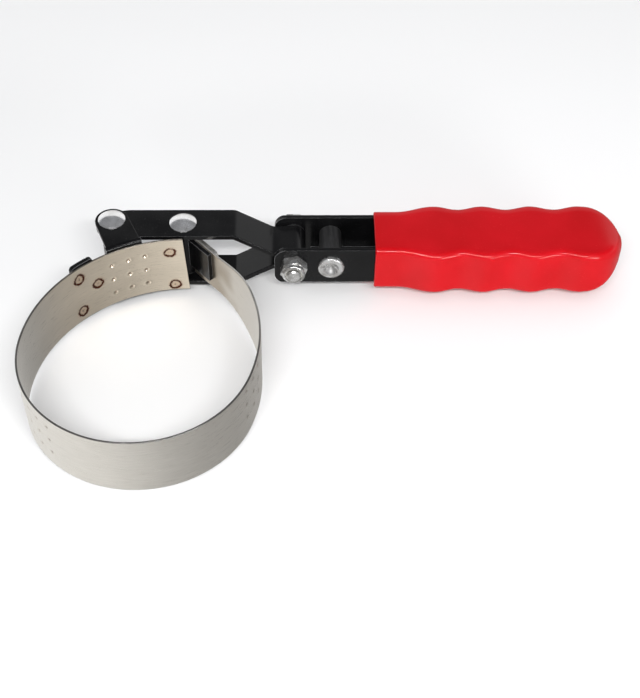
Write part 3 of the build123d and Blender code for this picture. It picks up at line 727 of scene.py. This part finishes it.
def steel_finish(name, bright, dark, tongue_colour=None):
    """Rolled stainless strip: fine lengthwise grain, soft blotches and heat colours.

    The grain follows the unrolled strip where a tongue colour is given, and the object's
    own axes elsewhere. On the rim that tongue colour is a painted highlight, and the strip's
    marks include painted shade in the dimples' pits.
    """
    material, tree, shader = new_finish(name)
    if tongue_colour:
        grain_place = strip_place(tree, STRIP_GRAIN)
        blotch_place = strip_place(tree, STRIP_BLOTCH)
    else:
        grain_place = object_place(tree, TAB_GRAIN)
        blotch_place = object_place(tree, TAB_BLOTCH)
    grain = noise_value(tree, grain_place, 1.0, detail=4.0, rough=0.65)
    blotch = noise_value(tree, blotch_place, 1.0, detail=2.0)
    base = mix_colours(tree, spread(tree, grain, 0.25, 0.75), dark, bright)
    base = mix_colours(tree, spread(tree, blotch, 0.2, 0.85, 0.0, 0.35), base, dark)
    if tongue_colour:
        base = heat_colours(tree, base, tongue_colour)
    tree.links.new(base, shader.inputs["Base Color"])
    shader.inputs["Metallic"].default_value = 0.9
    tree.links.new(spread(tree, grain, 0.25, 0.75, 0.26, 0.38), shader.inputs["Roughness"])
    add_bump(tree, shader, grain, strength=0.12, distance=0.00004)
    return material


def enamel_finish():
    """Glossy black enamel: faint orange peel, dust, thin spots and edges greyed as a painted
    highlight.
    """
    material, tree, shader = new_finish("black_enamel_finish")
    place = object_place(tree)
    peel = noise_value(tree, place, 900.0, detail=2.0)
    cloud = noise_value(tree, place, 60.0)
    dust = noise_value(tree, place, 1600.0, detail=1.0)
    # Lighter grey along the edges: a painted highlight
    edge_highlight = edge_share(tree, radius=0.0004, low=0.86, high=0.99)
    base = mix_colours(tree, spread(tree, cloud, 0.2, 0.8), ENAMEL_DARK, ENAMEL_LIGHT)
    base = mix_colours(tree, spread(tree, dust, 0.66, 0.8, 0.0, 0.25), base, ENAMEL_DUST)
    base = mix_colours(tree, edge_highlight, base, ENAMEL_EDGE_HIGHLIGHT)
    tree.links.new(base, shader.inputs["Base Color"])
    tree.links.new(spread(tree, cloud, 0.2, 0.8, 0.14, 0.22), shader.inputs["Roughness"])
    shader.inputs["Specular IOR Level"].default_value = 0.2
    add_bump(tree, shader, peel, strength=0.10, distance=0.00003)
    return material


def plating_finish(name, dull, bright, roughness, metallic):
    """Plating with hairline scratches, small dents and slight clouding."""
    material, tree, shader = new_finish(name)
    place = object_place(tree)
    cloud = noise_value(tree, place, 220.0)
    dents = noise_value(tree, place, 700.0)
    scratch = noise_value(tree, object_place(tree, SCRATCHES), 1.0, detail=4.0, rough=0.7)
    base = mix_colours(tree, spread(tree, cloud, 0.3, 0.7), dull, bright)
    tree.links.new(base, shader.inputs["Base Color"])
    shader.inputs["Metallic"].default_value = metallic
    tree.links.new(spread(tree, cloud, 0.3, 0.75, *roughness), shader.inputs["Roughness"])
    marks = mix_colours(tree, 0.5, scratch, dents)
    add_bump(tree, shader, marks, strength=0.22, distance=0.00006)
    return material


def dark_steel_finish():
    """Blackened steel, satin, with turning marks."""
    material, tree, shader = new_finish("dark_steel_finish")
    grain = noise_value(tree, object_place(tree, TURNING_MARKS), 1.0, detail=4.0, rough=0.6)
    base = mix_colours(tree, spread(tree, grain, 0.3, 0.7), DARK_STEEL_LOW, DARK_STEEL_HIGH)
    tree.links.new(base, shader.inputs["Base Color"])
    shader.inputs["Metallic"].default_value = 0.2
    shader.inputs["Specular IOR Level"].default_value = 0.3
    tree.links.new(spread(tree, grain, 0.3, 0.7, 0.4, 0.6), shader.inputs["Roughness"])
    add_bump(tree, shader, grain, strength=0.2, distance=0.00004)
    return material


def nylon_finish():
    """The lock nut's nylon ring, slightly mottled."""
    material, tree, shader = new_finish("nylon_finish")
    mottle = noise_value(tree, object_place(tree), 500.0, detail=2.0)
    base = mix_colours(tree, mottle, NYLON_DARK, NYLON_LIGHT)
    tree.links.new(base, shader.inputs["Base Color"])
    tree.links.new(spread(tree, mottle, 0.3, 0.7, 0.35, 0.5), shader.inputs["Roughness"])
    add_bump(tree, shader, mottle, strength=0.1, distance=0.00005)
    return material


def red_vinyl_finish():
    """Glossy red dipped vinyl: soft clouding, faint ripple and tiny specks."""
    material, tree, shader = new_finish("red_vinyl_finish")
    place = object_place(tree)
    cloud = noise_value(tree, place, 55.0, detail=2.0)
    ripple = noise_value(tree, place, 260.0, detail=2.0)
    speck = noise_value(tree, place, 1500.0, detail=1.0)
    base = mix_colours(tree, spread(tree, cloud, 0.2, 0.8), VINYL_DEEP, VINYL_BRIGHT)
    base = mix_colours(tree, spread(tree, speck, 0.68, 0.8, 0.0, 0.3), base, VINYL_SPECK)
    tree.links.new(base, shader.inputs["Base Color"])
    tree.links.new(spread(tree, cloud, 0.2, 0.8, 0.34, 0.42), shader.inputs["Roughness"])
    shader.inputs["Specular IOR Level"].default_value = 0.05
    shader.inputs["Coat Weight"].default_value = 0.4
    shader.inputs["Coat Roughness"].default_value = 0.07
    add_bump(tree, shader, ripple, strength=0.06, distance=0.0001)
    return material


def floor_finish():
    """Pale studio floor with the faintest variation."""
    material, tree, shader = new_finish("floor_finish")
    cloud = noise_value(tree, object_place(tree), 2.0, detail=2.0)
    base = mix_colours(tree, cloud, FLOOR_DARK, FLOOR_LIGHT)
    tree.links.new(base, shader.inputs["Base Color"])
    shader.inputs["Roughness"].default_value = 0.7
    return material


band_finish = steel_finish(
    "band_steel_finish", bright=(0.735, 0.71, 0.66), dark=(0.59, 0.565, 0.52), tongue_colour=STAINED_FACE
)
# The band's rims and end faces take a darker copy of its steel: painted shade along its edges
band_rim_shaded_finish = steel_finish(
    "band_rim_shaded_finish", bright=(0.26, 0.25, 0.24), dark=(0.14, 0.135, 0.13), tongue_colour=TONGUE_RIM_HIGHLIGHT
)
tab_finish = steel_finish("tab_steel_finish", bright=(0.95, 0.94, 0.92), dark=(0.45, 0.42, 0.38))
bright_finish = plating_finish(
    "bright_plating_finish",
    dull=(0.74, 0.73, 0.72),
    bright=(0.92, 0.92, 0.93),
    roughness=(0.1, 0.26),
    metallic=0.85,
)
zinc_finish = plating_finish(
    "zinc_finish",
    dull=(0.36, 0.355, 0.345),
    bright=(0.62, 0.62, 0.62),
    roughness=(0.18, 0.34),
    metallic=0.8,
)
vinyl_finish = red_vinyl_finish()
FINISHES = {
    "band_steel": tab_finish,
    "black_paint": enamel_finish(),
    "bright_plating": bright_finish,
    "dark_steel": dark_steel_finish(),
    "nylon": nylon_finish(),
    "red_vinyl": vinyl_finish,
}
ZINC_NODES = ["swivel_bolt", "lock_nut", "cross_rivet"]

for subpart in frame["record"]["subparts"]:
    mesh = frame["nodes"][subpart["node"]].data
    finish = FINISHES[subpart["material_slot"]]
    mesh.materials.clear()
    mesh.materials.append(zinc_finish if subpart["node"] in ZINC_NODES else finish)

# ---------------------------------------------------------------- band pieces

BLEND_REACH = 7.0


def middle_place(station):
    """The strip's mid-thickness point at a length along the band, in metres."""
    (x, y), (out_x, out_y) = band_place(station)
    return ((x + out_x * HALF_BAND) * MM, (y + out_y * HALF_BAND) * MM, 0.0)


last_number = len(FLEX_STATIONS) - 1
for number, flex in enumerate(FLEX_STATIONS):
    # Each piece runs from the middle of one stretch to the middle of the next, and the first
    # and last ones take in the band's ends.
    first = 0.0 if number == 0 else flex - FLEX_PITCH / 2
    last = BAND_END if number == last_number else flex + FLEX_PITCH / 2
    piece = band_piece(f"band_strip_{number + 1}", first, last, with_welds=number == 0)
    middle_place(flex - BLEND_REACH)
    middle_place(flex + BLEND_REACH)
    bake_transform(piece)
    stands_for = [BAND_NODES[number]]
    if number == last_number:
        stands_for.append("band_tongue")
    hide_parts(*stands_for)

# ---------------------------------------------------------------- grip piece

soft_grip = grip_mesh()
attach(soft_grip, "handle")
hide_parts("grip")

# ---------------------------------------------------------------- floor and lights

FLOOR_HALF = 3.0
FLOOR_GAP = 0.0002
OBJECT_MIDDLE = (0.07, 0.04, 0.0)

floor_height = cad_box[0].z - FLOOR_GAP
corners = ((-1, -1), (1, -1), (1, 1), (-1, 1))
floor_points = [(x * FLOOR_HALF, y * FLOOR_HALF, floor_height) for x, y in corners]
floor_mesh = bpy.data.meshes.new("studio_floor")
floor_mesh.from_pydata(floor_points, [], [(0, 1, 2, 3)])
floor_mesh.materials.append(floor_finish())
studio_floor = bpy.data.objects.new("studio_floor", floor_mesh)
bpy.context.scene.collection.objects.link(studio_floor)
studio_floor.visible_glossy = False


def soft_light(name, place, size, power, in_reflections):
    """A soft rectangular studio light aimed at the object."""
    lamp = bpy.data.lights.new(name, "AREA")
    lamp.shape = "RECTANGLE"
    lamp.size, lamp.size_y = size
    lamp.energy = power
    obj = bpy.data.objects.new(name, lamp)
    obj.location = place
    obj.rotation_mode = "QUATERNION"
    obj.rotation_quaternion = (Vector(OBJECT_MIDDLE) - Vector(place)).to_track_quat("-Z", "Y")
    obj.visible_glossy = in_reflections
    bpy.context.scene.collection.objects.link(obj)


soft_light("overhead_light", (0.0, 0.1, 1.7), (3.0, 3.0), 18.0, in_reflections=False)
soft_light("left_strip", (0.083, -0.697, 0.855), (0.85, 0.07), 9.5, in_reflections=True)
soft_light("right_strip", (0.712, -0.904, 0.239), (0.50, 0.08), 5.5, in_reflections=True)

# ---------------------------------------------------------------- surroundings

# Colours by direction. As the floor is left out of reflections, what lies below the horizon
# stands in for it, brighter on the left than on the right. Above it, the back is brighter than
# the front, and a patch overhead, widened along X, is dark.
BELOW_LEFT = (1.12, 1.115, 1.10)
BELOW_RIGHT = (0.27, 0.265, 0.26)
ABOVE_FRONT = (0.42, 0.42, 0.43)
ABOVE_BACK = (1.0, 1.0, 1.0)
DARK_COLOUR = (0.085, 0.09, 0.10)
DARK_MIDDLE = (0.0, 0.25, 0.968)
DARK_WIDENING = 0.6

world = bpy.data.worlds.new("studio_world")
bpy.context.scene.world = world
world.use_nodes = True
sky = world.node_tree
direction = add_node(sky, "ShaderNodeTexCoord", {}).outputs["Generated"]
parts = add_node(sky, "ShaderNodeSeparateXYZ", {"Vector": direction})
leftward = spread(sky, parts.outputs["X"], -0.9, 0.9, 1.0, 0.0)
backward = spread(sky, parts.outputs["Y"], -0.5, 0.35)
upward = spread(sky, parts.outputs["Z"], -0.08, 0.12)
dot_inputs = {0: direction, 1: DARK_MIDDLE}
towards_dark = add_node(sky, "ShaderNodeVectorMath", dot_inputs, operation="DOT_PRODUCT")
power_inputs = {0: parts.outputs["X"], 1: 2.0}
sideways = add_node(sky, "ShaderNodeMath", power_inputs, operation="POWER")
widened = {0: sideways.outputs[0], 1: DARK_WIDENING, 2: towards_dark.outputs["Value"]}
darkness = add_node(sky, "ShaderNodeMath", widened, operation="MULTIPLY_ADD")
overhead = spread(sky, darkness.outputs[0], 0.79, 0.85)
below = mix_colours(sky, leftward, BELOW_RIGHT, BELOW_LEFT)
above = mix_colours(sky, backward, ABOVE_FRONT, ABOVE_BACK)
sky_colour = mix_colours(sky, upward, below, above)
sky_colour = mix_colours(sky, overhead, sky_colour, DARK_COLOUR)
sky.links.new(sky_colour, sky.nodes["Background"].inputs["Color"])
sky.nodes["Background"].inputs["Strength"].default_value = 1.0

# ---------------------------------------------------------------- camera

CAMERA_PLACE = (0.060295, -0.330562, 0.382412)
CAMERA_AIM = (0.01209, 0.63401, -0.77323)
CAMERA_ROLL = 0.64

camera = bpy.data.cameras.new("photo_camera")
camera.sensor_width = 36.0
camera.lens = 67.09
camera.shift_x = 0.0121
camera.shift_y = 0.0816
camera.clip_start = 0.01
camera_object = bpy.data.objects.new("photo_camera", camera)
camera_object.location = CAMERA_PLACE
camera_object.rotation_mode = "QUATERNION"
facing = Vector(CAMERA_AIM).to_track_quat("-Z", "Y")
camera_object.rotation_quaternion = facing @ Quaternion((0, 0, 1), math.radians(CAMERA_ROLL))
bpy.context.scene.collection.objects.link(camera_object)
bpy.context.scene.camera = camera_object
bpy.context.scene.view_settings.view_transform = "Standard"
